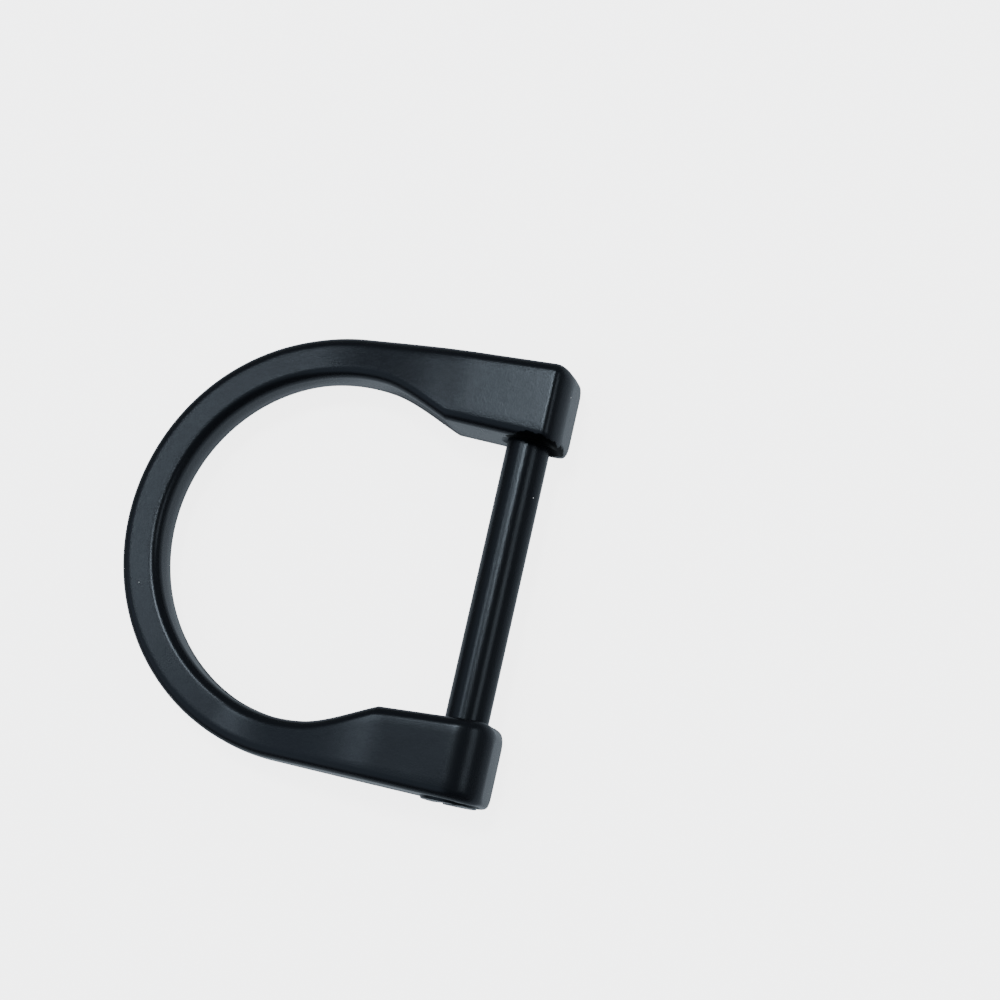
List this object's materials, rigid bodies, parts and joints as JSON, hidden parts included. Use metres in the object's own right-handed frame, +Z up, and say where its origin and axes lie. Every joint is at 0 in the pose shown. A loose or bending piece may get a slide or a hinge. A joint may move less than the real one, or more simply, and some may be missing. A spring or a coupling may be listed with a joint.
{
  "type": "screw-bar d ring",
  "caption": "Flat horseshoe D ring of coated metal whose open side is closed by a slotted screw bar that a strap sits on.",
  "frame": {"origin": "middle of the bar's axis, halfway between the ears and halfway through their thickness", "axes": "+X from the bow towards the open ends of the ears, +Y along the bar from its slotted head to its tip, +Z up out of the ring's front face"},
  "size_m": [0.0391, 0.0406, 0.0076],
  "materials": {
    "ring_coat": "satin black baked coating with a fine grain",
    "bar_coat": "satin black coating over turned metal"
  },
  "bodies": {
    "ring": {"d_ring": "ring_coat"},
    "bar": {"screw_bar": "bar_coat"}
  },
  "joints": [
    {"name": "bar_slide", "type": "slide", "parent": "ring", "child": "bar", "axis": [0, -1, 0], "range_m": [0, 0.0312]}
  ]
}
